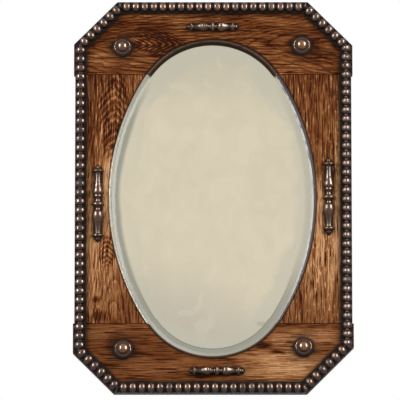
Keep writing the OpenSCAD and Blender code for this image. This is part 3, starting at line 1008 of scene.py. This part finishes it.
@dataclass(frozen=True)
class OldMetal(Finish):
    """A small fitting of plain metal with dull and dirty places."""

    bright: Colour
    dull: Colour
    roughness: float

    def fill(self, bench: Bench) -> None:
        """Fills the tree of the material.

        Args:
            bench: The tree in work.
        """
        cloud = bench.noise((210, 210, 210), 1.0, 4.0, 0.4)
        scratch = bench.noise((900, 120, 900), 5.0, 2.0)
        dirty = (cloud + (scratch - 0.5) * 0.25).fade(0.42, 0.66)
        bench.surface(
            {
                "Base Color": bench.mix(dirty, self.bright, self.dull),
                "Metallic": 1.0 - dirty * 0.45,
                "Roughness": self.roughness + dirty * 0.3 + (scratch - 0.5) * 0.12,
                "Normal": bench.bump(scratch + cloud, 0.00006),
            }
        )


def dress(node: str, finish: Finish) -> None:
    """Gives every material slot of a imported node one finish.

    Args:
        node: The name of the node.
        finish: What it is finished with.
    """
    material = finish.material()
    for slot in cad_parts[node].material_slots:
        slot.material = material
    LOG.info("%s dressed as %s", node, finish.name)


def skin(work: bmesh.types.BMesh, rings: list[list[bmesh.types.BMVert]]) -> None:
    """Joins rings of points by faces and closes both ends.

    Args:
        work: The mesh in work.
        rings: The rings in order, each with as many points.
    """
    count = len(rings[0])
    for outer, inner in zip(rings, rings[1:]):
        for here in range(count):
            after = (here + 1) % count
            work.faces.new((outer[here], outer[after], inner[after], inner[here]))
    work.faces.new(rings[-1])
    work.faces.new(list(reversed(rings[0])))
    bmesh.ops.recalc_face_normals(work, faces=work.faces)


def add_piece(name: str, work: bmesh.types.BMesh, sharp: float) -> bpy.types.Object:
    """Puts a mesh in work into the scene as a smooth object.

    Args:
        name: The name of the object and its mesh.
        work: The mesh in work, which is given up.
        sharp: The angle in degrees from which an edge stays sharp.

    Returns:
        The object.
    """
    mesh = bpy.data.meshes.new(name)
    work.to_mesh(mesh)
    work.free()
    mesh.shade_smooth()
    mesh.set_sharp_from_angle(angle=math.radians(sharp))
    piece = bpy.data.objects.new(name, mesh)
    bpy.context.scene.collection.objects.link(piece)
    return piece


def between(before: float, start: float, stop: float, after: float, share: float) -> float:
    """A value on the smooth curve through four others, between the middle two.

    Args:
        before: The value before start.
        start: The value at share 0.
        stop: The value at share 1.
        after: The value after stop.
        share: How far it lies from start to stop.

    Returns:
        The value.
    """
    return 0.5 * (
        2 * start
        + (stop - before) * share
        + (2 * before - 5 * start + 4 * stop - after) * share**2
        + (3 * start - before - 3 * stop + after) * share**3
    )


@dataclass(frozen=True)
class SplitTurning:
    """One split baluster on the face of the frame.

    Attributes:
        place: The side that it lies on.
        x: Where its middle lies across.
        z: Where its middle lies upright.
        length: How long it is.
        radius: The radius of its largest disc.
        grain: Which way it lies.
        foot_long: How far from its middle grime and painted shade reach at its ends.
        foot_wide: How far from its axis they reach along it.
    """

    place: str
    x: float
    z: float
    length: float
    radius: float
    grain: Grain
    foot_long: float
    foot_wide: float

    def point(self, along: float, across: float, proud: float) -> Triple:
        """Turns a point of the turning into one of the frame.

        Args:
            along: How far it lies from the upper or the left end.
            across: How far it lies to the side of the axis.
            proud: How far it stands from the wall.

        Returns:
            The point as x, y and z.
        """
        off = along - self.length / 2
        if self.grain is Grain.ACROSS:
            return self.x + off, -proud, self.z + across
        return self.x + across, -proud, self.z - off

    def foot(self) -> Applied:
        """Works out where grime and painted shade lie round it.

        Returns:
            Its foot on the face.
        """
        if self.grain is Grain.ACROSS:
            return Applied(self.x, self.z, self.foot_long, self.foot_wide)
        return Applied(self.x, self.z, self.foot_wide, self.foot_long)


TURNINGS = (
    SplitTurning("left", -0.203, -0.0125, 0.140, 0.011, Grain.UPRIGHT, 0.066, 0.0074),
    SplitTurning("right", 0.203, 0.0, 0.140, 0.011, Grain.UPRIGHT, 0.066, 0.0074),
    SplitTurning("top", -0.001, 0.3055, 0.093, 0.0095, Grain.ACROSS, 0.0445, 0.0065),
    SplitTurning("bottom", 0.0065, -0.311, 0.098, 0.0095, Grain.ACROSS, 0.047, 0.0065),
)
FEET = {turning.place: turning.foot() for turning in TURNINGS}


@dataclass
class Boards:
    """The four oak boards and the dowels in their joints.

    Attributes:
        cant_top_left: How far the cut corner there reaches along both edges.
        cant_top_right: How far the next one does.
        cant_bottom_left: How far the one below on the left does.
        cant_bottom_right: How far the one below on the right does.
        boss_r: The radius of a boss.
        joint_top: How high the joints of the top rail lie.
        joint_bottom: How high the joints of the bottom rail lie.
    """

    cant_top_left: float = 0.076
    cant_top_right: float = 0.078
    cant_bottom_left: float = 0.072
    cant_bottom_right: float = 0.082
    boss_r: float = 0.0175
    joint_top: float = 0.2195
    joint_bottom: float = -0.2265

    def _boss(self, x: float, z: float) -> Applied:
        """The foot of a boss as a place round which grime and painted shade lie."""
        return Applied(x, z, self.boss_r, self.boss_r, True)

    def _top_rail(self) -> StainedOak:
        """The darkest board, with a figure beside its left boss.

        Returns:
            The board's finish.
        """
        return StainedOak(
            "oak_top_rail", Grain.ACROSS, pith=0.268, heart=0.016, taper=-0.16,
            spacing=0.0062, wander=0.03, ripple=0.011, level=0.42,
            contrast=1.1, thread=1.0, dash=0.38, run=14.0, seed=11.0,
            corners=((-1, 1, self.cant_top_left), (1, 1, self.cant_top_right)),
            joints=(self.joint_top,),
            patches=(
                Patch(-0.128, 0.276, 0.034, 0.014, 0.25),
                Patch(-0.200, 0.247, 0.050, 0.020, 0.14),
                Patch(-0.135, 0.305, 0.060, 0.016, -0.10),
                Patch(0.000, 0.290, 0.060, 0.010, 0.15),
                Patch(0.150, 0.262, 0.050, 0.030, -0.06),
                Patch(0.120, 0.235, 0.060, 0.012, 0.14),
                Patch(0.205, 0.235, 0.040, 0.014, -0.04),
            ),
            applied=(
                self._boss(-0.1605, 0.2685),
                self._boss(0.1565, 0.2715),
                FEET["top"],
            ),
            figures=(Figure(-0.095, 0.274, 0.050, 0.024, 0.40, 0.004, 0.0046, 0.42),),
            reveal=srgb(68, 48, 36), painted_streak=0.85, streak_in=0.0026,
            streak_colour=srgb(122, 98, 82),
        )

    def _bottom_rail(self) -> StainedOak:
        """The quietest board, golden on the right and marked by two burns.

        Returns:
            The board's finish.
        """
        return StainedOak(
            "oak_bottom_rail", Grain.ACROSS, pith=-0.30, heart=0.05, taper=0.03,
            spacing=0.0085, wander=0.035, ripple=0.006, level=0.44,
            contrast=0.54, thread=0.49, dash=0.54, run=12.0, seed=29.0,
            corners=((-1, -1, self.cant_bottom_left), (1, -1, self.cant_bottom_right)),
            joints=(self.joint_bottom,),
            patches=(
                Patch(0.120, -0.298, 0.090, 0.034, 0.54),
                Patch(-0.060, -0.300, 0.070, 0.020, 0.04),
                Patch(0.085, -0.266, 0.020, 0.007, -0.60),
                Patch(0.112, -0.276, 0.015, 0.005, -0.65),
                Patch(0.120, -0.232, 0.050, 0.006, -0.14),
                Patch(0.165, -0.250, 0.085, 0.019, 0.36),
                Patch(-0.200, -0.245, 0.050, 0.018, 0.06),
                Patch(-0.172, -0.258, 0.020, 0.014, -0.22),
            ),
            applied=(
                self._boss(-0.158, -0.2725),
                self._boss(0.158, -0.2685),
                FEET["bottom"],
            ),
            rings=0.2, painted_streak=0.7, streak_in=0.0050,
            streak_colour=srgb(200, 194, 180), streak_span=(0.0, -0.09),
        )

    def _left_stile(self) -> StainedOak:
        """A lively board with a large and a small figure and two knots.

        Returns:
            The board's finish.
        """
        return StainedOak(
            "oak_left_stile", Grain.UPRIGHT, pith=-0.176, heart=0.012, taper=0.17,
            spacing=0.0066, wander=0.022, ripple=0.006, level=0.545,
            contrast=1.2, thread=1.4, dash=0.28, run=14.0, seed=43.0,
            corners=(), joints=(self.joint_top, self.joint_bottom),
            patches=(
                Patch(-0.208, 0.150, 0.026, 0.075, -0.13),
                Patch(-0.184, 0.015, 0.012, 0.080, 0.60),
                Patch(-0.200, 0.000, 0.032, 0.085, 0.20),
                Patch(-0.174, 0.170, 0.006, 0.030, 0.20),
                Patch(-0.190, 0.214, 0.040, 0.018, -0.14),
                Patch(-0.200, -0.110, 0.045, 0.120, 0.26),
                Patch(-0.219, -0.020, 0.006, 0.080, 0.28),
                Patch(-0.207, -0.184, 0.008, 0.006, -0.60),
                Patch(-0.204, -0.213, 0.022, 0.012, -0.42),
            ),
            applied=(FEET["left"],),
            figures=(
                Figure(-0.174, 0.140, 0.090, 0.032, 0.80, 0.006, 0.0105, 0.34),
                Figure(-0.187, -0.099, 0.032, 0.016, 0.42, 0.014, 0.0036, 0.44),
            ),
            # The pale wall of the opening on this stile is a painted reflection.
            reveal=srgb(188, 184, 172), reveal_sheen=0.4,
        )

    def _right_stile(self) -> StainedOak:
        """A fine-grained board, dark above and golden below.

        Returns:
            The board's finish.
        """
        return StainedOak(
            "oak_right_stile", Grain.UPRIGHT, pith=0.02, heart=0.02, taper=0.01,
            spacing=0.0042, wander=0.014, ripple=0.0032, level=0.42,
            contrast=0.82, thread=1.8, dash=0.42, run=14.0, seed=61.0,
            corners=(), joints=(self.joint_top, self.joint_bottom),
            patches=(
                Patch(0.175, -0.085, 0.160, 0.160, 0.36),
                Patch(0.187, 0.000, 0.009, 0.050, 0.30),
                Patch(0.160, 0.210, 0.060, 0.024, -0.10),
                Patch(0.205, -0.060, 0.030, 0.110, 0.18),
                Patch(0.219, 0.050, 0.009, 0.130, 0.42),
                Patch(0.150, -0.150, 0.016, 0.070, -0.22),
            ),
            applied=(FEET["right"],),
            rings=0.15, reveal=srgb(84, 76, 80), reveal_sheen=0.2,
            painted_streak=0.95, streak_in=0.0052, streak_colour=srgb(236, 234, 230),
        )

    def dress(self) -> None:
        """Finishes each board with its own cut of oak, and the dowels."""
        dress("top_rail", self._top_rail())
        dress("bottom_rail", self._bottom_rail())
        dress("left_stile", self._left_stile())
        dress("right_stile", self._right_stile())
        beech = (srgb(206, 170, 122), srgb(168, 128, 84))
        dress("joint_dowels", PlainWood("dowel_beech", *beech, (500.0, 500.0, 60.0)))


@dataclass
class BeadMoulding:
    """The eight lengths of bead moulding along the edge.

    Attributes:
        strip_top: How far the strips under the beads stand from the wall.
        bead_top: How far the beads do.
    """

    strip_top: float = 0.027
    bead_top: float = 0.0362

    def dress(self) -> None:
        """Finishes each length with its own wear and painted highlights, the top one the most
        rubbed.
        """
        warm, cool = srgb(136, 92, 62), srgb(120, 84, 64)
        # Each length: its worn colour, how far it is rubbed, and the side and strength of its
        # painted highlight.
        lengths = {
            "top": (warm, 0.8, 0.45, 0.5), "bottom": (warm, 0.6, 0.4, 0.55),
            "left": (cool, 0.5, 0.45, 0.62), "right": (cool, 0.6, 0.24, 0.95),
            "top_left": (cool, 0.55, 0.4, 0.6), "top_right": (cool, 0.55, 0.4, 0.6),
            "bottom_left": (cool, 0.5, 0.4, 0.6), "bottom_right": (warm, 0.6, 0.3, 0.7),
        }
        for place, (worn, rub, shoulder, share) in lengths.items():
            dress(
                "bead_strip_" + place,
                DarkTurned(
                    "bead_wood_" + place, self.strip_top, self.bead_top, worn, rub=rub,
                    waxed_from=0.5, rubbed_from=0.88, shoulder=shoulder,
                    body=srgb(50, 32, 24), highlight_paint=srgb(216, 190, 170), highlight_paint_share=share,
                ),
            )


@dataclass
class Bosses:
    """The four turned bosses near the corners."""

    top: float = 0.0412

    def dress(self) -> None:
        """Finishes each boss, rubbed brown on its dome, the one at the top left least, with painted
        highlights, and grime and painted shade in its hollows.
        """
        for place in ("top_left", "top_right", "bottom_left", "bottom_right"):
            worn = srgb(96, 72, 60) if place == "top_left" else srgb(134, 96, 58)
            dress(
                "boss_" + place,
                DarkTurned(
                    "boss_wood_" + place, FACE, self.top, worn, body=srgb(74, 49, 37),
                    hollow_dirt_and_shade=srgb(52, 33, 23), rub=0.8, waxed_from=0.25, sheen=0.3, shoulder=0.5,
                    highlight_paint_share=0.9,
                ),
            )


@dataclass
class Balusters:
    """The four split balusters, each turned from one profile and flat at the back.

    Attributes:
        steps: How many faces the half round has.
        blend: How many stations there are from one point of the profile to the next.
        sharp: The angle in degrees from which an edge stays sharp.
        marks: Where the discs and swells of an upright one lie, as shares of its length.
        rail_marks: Where those of one on a rail lie.
        profile: Shares of the length and of the radius.
    """

    steps: int = 32
    blend: int = 3
    sharp: float = 50.0
    marks: tuple[float, ...] = (0.0, 0.087, 0.355, 0.515, 0.657, 0.915, 1.0)
    rail_marks: tuple[float, ...] = (0.0, 0.095, 0.325, 0.505, 0.665, 0.880, 1.0)
    profile: tuple[tuple[float, float], ...] = (
        (0.0, 0.08), (0.012, 0.22), (0.030, 0.34), (0.046, 0.38), (0.056, 0.50),
        (0.066, 0.72), (0.078, 0.90), (0.087, 0.97), (0.097, 0.90), (0.104, 0.64),
        (0.118, 0.55), (0.160, 0.54), (0.210, 0.56), (0.255, 0.64), (0.300, 0.78),
        (0.332, 0.90), (0.355, 0.95), (0.374, 0.90), (0.386, 0.78), (0.396, 0.70),
        (0.408, 0.74), (0.420, 0.70), (0.432, 0.56), (0.455, 0.50), (0.476, 0.56),
        (0.486, 0.72), (0.500, 0.93), (0.515, 1.00), (0.530, 0.92), (0.540, 0.64),
        (0.556, 0.50), (0.576, 0.50), (0.592, 0.62), (0.610, 0.82), (0.632, 0.95),
        (0.657, 1.00), (0.682, 0.97), (0.712, 0.87), (0.750, 0.73), (0.790, 0.62),
        (0.835, 0.55), (0.872, 0.54), (0.888, 0.62), (0.898, 0.86), (0.913, 0.97),
        (0.926, 0.88), (0.934, 0.56), (0.946, 0.46), (0.962, 0.44), (0.980, 0.32),
        (0.993, 0.16), (1.0, 0.05),
    )

    def _stations(self, turning: SplitTurning) -> list[tuple[float, float]]:
        """The profile with its discs and swells where they lie on one turning.

        Args:
            turning: The baluster that it is for.

        Returns:
            Shares of the length and of the radius.
        """
        marks = self.rail_marks if turning.grain is Grain.ACROSS else self.marks
        stations = []
        for share, radius in self.profile:
            at = max(i for i in range(len(marks) - 1) if self.marks[i] <= share)
            part = (share - self.marks[at]) / (self.marks[at + 1] - self.marks[at])
            stations.append((marks[at] + (marks[at + 1] - marks[at]) * part, radius))
        return stations

    def _section(self, turning: SplitTurning) -> list[tuple[float, float]]:
        """The smoothed profile of one turning.

        Args:
            turning: The baluster that it is for.

        Returns:
            Places along the axis and radii, in metres.
        """
        stations = self._stations(turning)
        last = len(stations) - 1
        section = []
        for here in range(last):
            (start, start_radius), (stop, stop_radius) = stations[here], stations[here + 1]
            before, after = stations[max(here - 1, 0)][1], stations[min(here + 2, last)][1]
            for step in range(self.blend):
                share = step / self.blend
                along = start + (stop - start) * share
                radius = between(before, start_radius, stop_radius, after, share)
                section.append((along * turning.length, min(radius, 1.0) * turning.radius))
        section.append((turning.length, stations[last][1] * turning.radius))
        return section

    def _turn(self, turning: SplitTurning) -> bpy.types.Object:
        """Makes one baluster as a closed half-round mesh.

        Args:
            turning: The baluster to make.

        Returns:
            The new object.
        """
        work = bmesh.new()
        rings = []
        for along, radius in self._section(turning):
            ring = []
            for step in range(self.steps + 1):
                turn = math.pi * step / self.steps
                across, rise = radius * math.cos(turn), radius * math.sin(turn)
                ring.append(work.verts.new(turning.point(along, across, FACE + rise)))
            rings.append(ring)
        skin(work, rings)
        return add_piece("turned_baluster_" + turning.place, work, self.sharp)

    def _wood(self, turning: SplitTurning) -> DarkTurned:
        """The finish of one baluster.

        Args:
            turning: The baluster that it is for.

        Returns:
            Dark wood with its grain along the baluster, painted highlights, and grime and painted
            shade in its hollows.
        """
        upright = turning.grain is Grain.UPRIGHT
        return DarkTurned(
            "baluster_wood_" + turning.place, FACE, FACE + turning.radius,
            srgb(104, 76, 56), body=srgb(70, 50, 38), rub=0.5, waxed_from=0.25,
            sheen=0.4, shoulder=0.34, tilt=0.24, highlight_paint=srgb(236, 214, 196),
            highlight_paint_share=0.62 if upright else 0.58, coat_from=0.78,
            grain=(420.0, 420.0, 60.0) if upright else (60.0, 420.0, 420.0),
        )

    def build(self) -> None:
        """Turns and finishes the balusters."""
        for turning in TURNINGS:
            piece = self._turn(turning)
            piece.data.materials.append(self._wood(turning).material())
            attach(piece, "frame")
            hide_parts("baluster_" + turning.place)
            LOG.info("%s baluster turned with %d faces", turning.place, len(piece.data.polygons))


@dataclass
class LookingGlass:
    """The bevelled plate with what lies behind it.

    Attributes:
        back: How far the back of the plate stands from the wall.
        thickness: How thick the plate is.
        edge_thickness: How thick its ground edge is.
        bevel: How wide the bevel is.
        bands: Where each band of the bevel ends, as a share of its width.
        edge_out: How far the edge lies outside the opening's front edge.
        arris_wide: How far the arris of the edge reaches inwards.
        arris_deep: How far it reaches back.
        sharp: The angle in degrees from which an edge stays sharp.
    """

    back: float = 0.00665
    thickness: float = 0.005
    edge_thickness: float = 0.003
    bevel: float = 0.019
    bands: tuple[float, ...] = (0.33, 0.66, 1.0)
    edge_out: float = 0.001
    arris_wide: float = 0.0003
    arris_deep: float = 0.0002
    sharp: float = 3.5

    def _ring(
        self, work: bmesh.types.BMesh, offset: float, depth: float
    ) -> list[bmesh.types.BMVert]:
        """Adds the points of one oval.

        Args:
            work: The mesh in work.
            offset: How far outside the opening's front edge the oval lies.
            depth: How far it stands from the wall.

        Returns:
            The new points in order.
        """
        return [work.verts.new((x, -depth, z)) for x, z in OVAL.outline(offset)]

    def build(self) -> None:
        """Makes the plate: flat back, thin ground edge, bevel in bands, flat front."""
        front, edge = self.back + self.thickness, self.back + self.edge_thickness
        profile = [
            (self.edge_out, self.back),
            (self.edge_out, edge - self.arris_deep),
            (self.edge_out - self.arris_wide, edge),
        ]
        for share in self.bands:
            profile.append((self.edge_out - self.bevel * share, edge + (front - edge) * share))
        work = bmesh.new()
        skin(work, [self._ring(work, offset, depth) for offset, depth in profile])
        plate = add_piece("looking_glass_plate", work, self.sharp)
        plate.data.materials.append(OldSilvering("old_silvering").material())
        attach(plate, "frame")
        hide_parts("mirror_glass")
        LOG.info("plate built with %d faces", len(plate.data.polygons))

    def dress(self) -> None:
        """Finishes what lies behind the plate."""
        pine = (srgb(212, 178, 128), srgb(178, 136, 86))
        dress("silver_coat", OldMetal("silver_back", srgb(150, 120, 100), srgb(90, 60, 48), 0.4))
        dress("packing_card", GreyCard("packing_card"))
        dress("glazing_blocks", PlainWood("block_pine", *pine, (300.0, 60.0, 300.0)))


@dataclass
class Back:
    """The backboard with its screws, and the hangers with their rings."""

    zinc: Colour = srgb(176, 176, 172)
    brass: Colour = srgb(190, 150, 82)

    def dress(self) -> None:
        """Finishes the board and the metal."""
        dress("backboard", Plywood("birch_ply"))
        dress("backboard_screws", OldMetal("zinc_screws", self.zinc, srgb(104, 100, 94), 0.32))
        dress("hanger_screws", OldMetal("brass_screws", self.brass, srgb(104, 78, 44), 0.34))
        for side in ("left", "right"):
            strip = OldMetal("brass_plate_" + side, self.brass, srgb(112, 84, 48), 0.36)
            wire = OldMetal("brass_wire_" + side, srgb(198, 160, 92), srgb(120, 92, 54), 0.28)
            dress("hanger_" + side, strip)
            dress("ring_" + side, wire)


@dataclass(frozen=True)
class Lamp:
    """A square soft box that looks at the middle of the mirror."""

    name: str
    place: Triple
    side: float = 0.8
    radiance: float = 12.5

    def hang(self) -> None:
        """Makes the lamp and turns it to the mirror."""
        light = bpy.data.lights.new(self.name, "AREA")
        light.shape = "SQUARE"
        light.size = self.side
        light.energy = self.radiance * math.pi * self.side**2
        lamp = bpy.data.objects.new(self.name, light)
        lamp.location = self.place
        lamp.rotation_mode = "QUATERNION"
        lamp.rotation_quaternion = (-Vector(self.place)).to_track_quat("-Z", "Y")
        bpy.context.scene.collection.objects.link(lamp)
        LOG.info("%s hung", self.name)


@dataclass
class Studio:
    """A pale floor, even light from all round and two soft boxes at either side."""

    floor_z: float = -4.4
    floor_half: float = 30.0
    floor_grey: float = 0.8
    floor_glow: float = 0.7
    ambient: float = 0.2
    high_box: Triple = (1.80, -1.05, 1.30)
    low_box: Triple = (2.05, -1.25, 0.10)

    def _seen(self, bench: Bench) -> Wire:
        """Tells the rays that the camera, a mirror or a glass sends out from all others.

        Args:
            bench: The tree in work.

        Returns:
            1 for such a ray, else 0.
        """
        path = bench.add("ShaderNodeLightPath")
        names = ("Is Camera Ray", "Is Glossy Ray", "Is Transmission Ray")
        camera, mirror, glass = (Wire(bench, path.outputs[name]) for name in names)
        return camera.most(mirror).most(glass)

    def _world(self) -> None:
        """Lights the room evenly, and shows as plain white."""
        world = bpy.data.worlds.new("studio")
        world.use_nodes = True
        bench = Bench(world.node_tree)
        strength = self.ambient + self._seen(bench) * (1.0 - self.ambient)
        light = bench.add(
            "ShaderNodeBackground", None, {"Color": (1.0, 1.0, 1.0, 1.0), "Strength": strength}
        )
        bench.add("ShaderNodeOutputWorld", None, {"Surface": light.outputs[0]})
        bpy.context.scene.world = world

    def _floor(self) -> None:
        """Lays a pale floor that still takes a shadow."""
        half, z = self.floor_half, self.floor_z
        mesh = bpy.data.meshes.new("studio_floor")
        corners = [(-half, -half, z), (half, -half, z), (half, half, z), (-half, half, z)]
        mesh.from_pydata(corners, [], [(0, 1, 2, 3)])
        material = bpy.data.materials.new("studio_floor")
        material.use_nodes = True
        bench = Bench(material.node_tree)
        grey = (self.floor_grey, self.floor_grey, self.floor_grey, 1.0)
        paper = bench.add("ShaderNodeBsdfDiffuse", None, {"Color": grey})
        strength = self._seen(bench) * self.floor_glow
        glow = bench.add("ShaderNodeEmission", None, {"Strength": strength})
        both = bench.add("ShaderNodeAddShader", None, {0: paper.outputs[0], 1: glow.outputs[0]})
        bench.add("ShaderNodeOutputMaterial", None, {"Surface": both.outputs[0]})
        mesh.materials.append(material)
        floor = bpy.data.objects.new("studio_floor", mesh)
        bpy.context.scene.collection.objects.link(floor)

    def build(self) -> None:
        """Sets up the world, the floor and the lamps."""
        self._world()
        self._floor()
        for side, sign in (("left", -1), ("right", 1)):
            for level, (x, y, z) in (("high", self.high_box), ("low", self.low_box)):
                Lamp("soft_box_" + side + "_" + level, (sign * x, y, z)).hang()
        bpy.context.scene.view_settings.view_transform = "Standard"


@dataclass
class Viewpoint:
    """The camera: far off with a long lens, looking up at the mirror.

    Attributes:
        aim: The point that it looks at.
        distance: How far off it is.
        elevation: How high it stands over that point in degrees, below zero under it.
        span: How wide a view it has at that distance.
        sensor: The width of its sensor in millimetres.
    """

    aim: Triple = (-0.0234, -FACE, -0.0062)
    distance: float = 10.0
    elevation: float = -11.0
    span: float = 0.7035
    sensor: float = 36.0

    def place(self) -> None:
        """Makes the camera and looks at the aim."""
        turn = math.radians(self.elevation)
        back = Vector((0.0, -math.cos(turn), math.sin(turn)))
        camera = bpy.data.cameras.new("camera")
        camera.sensor_width = self.sensor
        camera.lens = self.sensor * self.distance / self.span
        camera.clip_end = 100.0
        eye = bpy.data.objects.new("camera", camera)
        eye.location = Vector(self.aim) + back * self.distance
        eye.rotation_mode = "QUATERNION"
        eye.rotation_quaternion = (-back).to_track_quat("-Z", "Y")
        bpy.context.scene.collection.objects.link(eye)
        bpy.context.scene.camera = eye


def main() -> None:
    """Builds and dresses the mirror piece by piece, then the studio and the camera."""
    logging.basicConfig(level=logging.INFO, format="%(name)s: %(message)s")
    Boards().dress()
    BeadMoulding().dress()
    Bosses().dress()
    Balusters().build()
    glass = LookingGlass()
    glass.build()
    glass.dress()
    Back().dress()
    Studio().build()
    Viewpoint().place()


if __name__ == "__main__":
    main()
